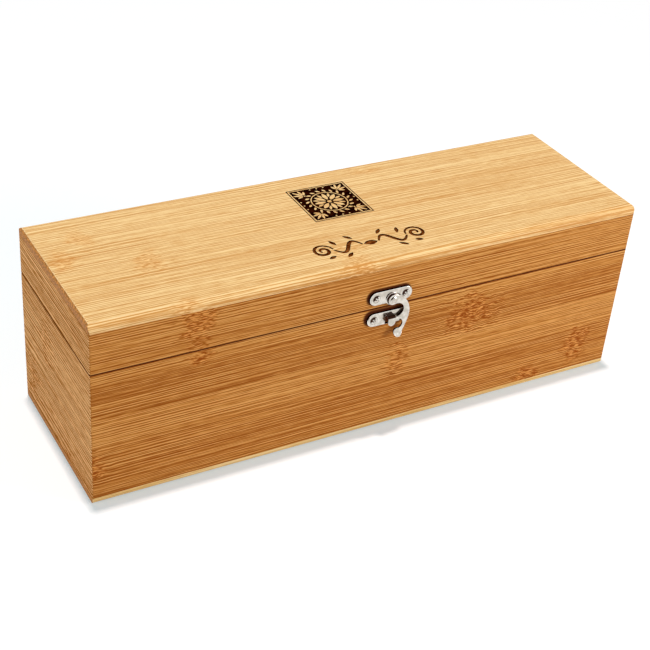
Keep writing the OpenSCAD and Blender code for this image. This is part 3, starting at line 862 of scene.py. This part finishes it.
def flourish_outlines(growth):
    """Symmetrical flourish: a lozenge between two waves that end in scrolls, with leaves."""
    start = (FLOURISH_AT[0] - LOZENGE_LENGTH / 2 - growth, FLOURISH_AT[1])
    lozenge = leaf(start, 0, LOZENGE_LENGTH + 2 * growth, LOZENGE_WIDTH + growth)
    return [lozenge, *flourish_half(-1, growth), *flourish_half(1, growth)]


def cutter(name, outlines, material, depth=BURNT_DEPTH):
    """Solid that cuts outlines into the top board, the inner ones left standing."""
    data = bpy.data.curves.new(name, "CURVE")
    data.dimensions = "2D"
    data.fill_mode = "BOTH"
    data.extrude = depth * MM
    for outline in outlines:
        spline = data.splines.new("POLY")
        spline.points.add(len(outline) - 1)
        for point, (x, y) in zip(spline.points, outline):
            point.co = (x * MM, y * MM, 0, 1)
        spline.use_cyclic_u = True
    curve = bpy.data.objects.new(name, data)
    curve.location.z = TOP_Z * MM
    add_to_scene(curve)
    mesh = settled_mesh(curve)
    mesh.transform(curve.matrix_world)
    mesh.materials.clear()
    mesh.materials.append(material)
    bpy.data.objects.remove(curve)
    solid = bpy.data.objects.new(name + "_solid", mesh)
    add_to_scene(solid)
    weld(mesh)
    return solid


def settled_mesh(piece):
    """Mesh of a piece as its modifiers and settings leave it."""
    bpy.context.view_layer.update()
    return bpy.data.meshes.new_from_object(piece.evaluated_get(bpy.context.evaluated_depsgraph_get()))


def apply_modifiers(piece):
    mesh = settled_mesh(piece)
    piece.modifiers.clear()
    piece.data = mesh


def weld(mesh, reach=WELD):
    """Joins the corners of a mesh's faces and forgets the shading that went with them."""
    if "custom_normal" in mesh.attributes:
        mesh.attributes.remove(mesh.attributes["custom_normal"])
    shape = bmesh.new()
    shape.from_mesh(mesh)
    bmesh.ops.remove_doubles(shape, verts=shape.verts, dist=reach)
    bmesh.ops.dissolve_degenerate(shape, edges=shape.edges, dist=reach)
    bmesh.ops.recalc_face_normals(shape, faces=shape.faces)
    shape.to_mesh(mesh)
    shape.free()


def even_shading(piece):
    """Shades curves smooth and keeps flats flat."""
    for polygon in piece.data.polygons:
        polygon.use_smooth = True
    piece.data.set_sharp_from_angle(angle=SHARP_FROM)
    even = piece.modifiers.new("even", "WEIGHTED_NORMAL")
    even.weight = LARGE_FACES_LEAD
    even.keep_sharp = True
    apply_modifiers(piece)


def stand_in(node, name, material, reach):
    """Copy of a node's mesh, welded and of one material, to be worked on."""
    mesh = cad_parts[node].data.copy()
    mesh.materials.clear()
    mesh.materials.append(material)
    weld(mesh, reach)
    piece = bpy.data.objects.new(name, mesh)
    add_to_scene(piece)
    return piece


def carve_top_board(wood, burnt, charred):
    """Top board with the burnt ornament cut into it."""
    board = stand_in("lid_top_board", "lid_top_board_carved", wood, WELD)
    border, field = panel_outlines()
    solids = [cutter("panel_border", border, charred), cutter("panel_field", field, charred)]
    for i, outline in enumerate(flourish_outlines(RIM_GROWTH)):
        solids.append(cutter(f"flourish_rim_{i}", [outline], charred))
    for i, outline in enumerate(flourish_outlines(CORE_GROWTH)):
        solids.append(cutter(f"flourish_{i}", [outline], burnt, CORE_DEPTH))
    for solid in solids:
        cut = board.modifiers.new(solid.name, "BOOLEAN")
        cut.operation = "DIFFERENCE"
        cut.object = solid
        cut.solver = "EXACT"
        cut.material_mode = "TRANSFER"
    apply_modifiers(board)
    for solid in solids:
        bpy.data.objects.remove(solid)
    weld(board.data, CARVED_WELD)
    even_shading(board)
    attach(board, "lid")
    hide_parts("lid_top_board")


def ease_metal(name, body, material):
    """Piece that stands for a metal node, its cut edges softened."""
    piece = stand_in(name, name + "_eased", material, METAL_WELD)
    ease = piece.modifiers.new("ease", "BEVEL")
    ease.width = EASED_BY
    ease.segments = EASED_STEPS
    ease.use_clamp_overlap = False
    ease.limit_method = "ANGLE"
    ease.angle_limit = EASED_FROM
    apply_modifiers(piece)
    weld(piece.data)
    even_shading(piece)
    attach(piece, body)
    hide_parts(name)


def finish_metal():
    """Nickel on every metal piece, and eased edges on those of the latch."""
    hinge = nickel("hinge_nickel", upright=False)
    screw = nickel("screw_nickel", crescent=SCREW_CRESCENT)
    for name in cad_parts:
        if "hinge" in name:
            paint_node(name, hinge)
        elif "screws" in name:
            paint_node(name, screw)
    paint_node("latch_rivet", nickel("rivet_nickel", crescent=RIVET_CRESCENT))
    boss_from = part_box("latch_plate")[0].y * TO_MM + BOSS_IN
    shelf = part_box("catch_plate")[1].z * TO_MM - SHELF_DOWN
    plate = nickel("plate_nickel", dark_past=boss_from, heads="latch_plate_screws")
    catch = nickel("catch_nickel", heads="catch_plate_screws", shelf=shelf)
    ease_metal("latch_plate", "lid", plate)
    ease_metal("latch_hook", "hook", nickel("hook_nickel"))
    ease_metal("catch_plate", "base", catch)


def finish_wood():
    """Bamboo on every wooden piece, and the ornament in the top board."""
    woods = {
        "front_board": front_bamboo(),
        "back_board": back_bamboo(),
        "left_end": end_bamboo("left_end_bamboo", LEFT_JOINTS, 8.3, 1.65),
        "right_end": end_bamboo("right_end_bamboo", RIGHT_JOINTS, 12.9, 1.1),
    }
    for side, wood in woods.items():
        paint_node("lid_" + side, wood)
        paint_node("base_" + side, wood)
    paint_node("base_bottom_board", bottom_bamboo())
    rest = rest_bamboo()
    paint_node("neck_rest", rest)
    paint_node("body_rest", rest)
    burnt, charred = burnt_wood("burnt_bamboo", BURNT), burnt_wood("charred_bamboo", CHARRED)
    carve_top_board(top_bamboo(), burnt, charred)


place_camera()
bpy.context.scene.view_settings.view_transform = "Standard"
for lamp in LAMPS:
    softbox(*lamp)
dress_world()
lay_floor()
finish_metal()
finish_wood()
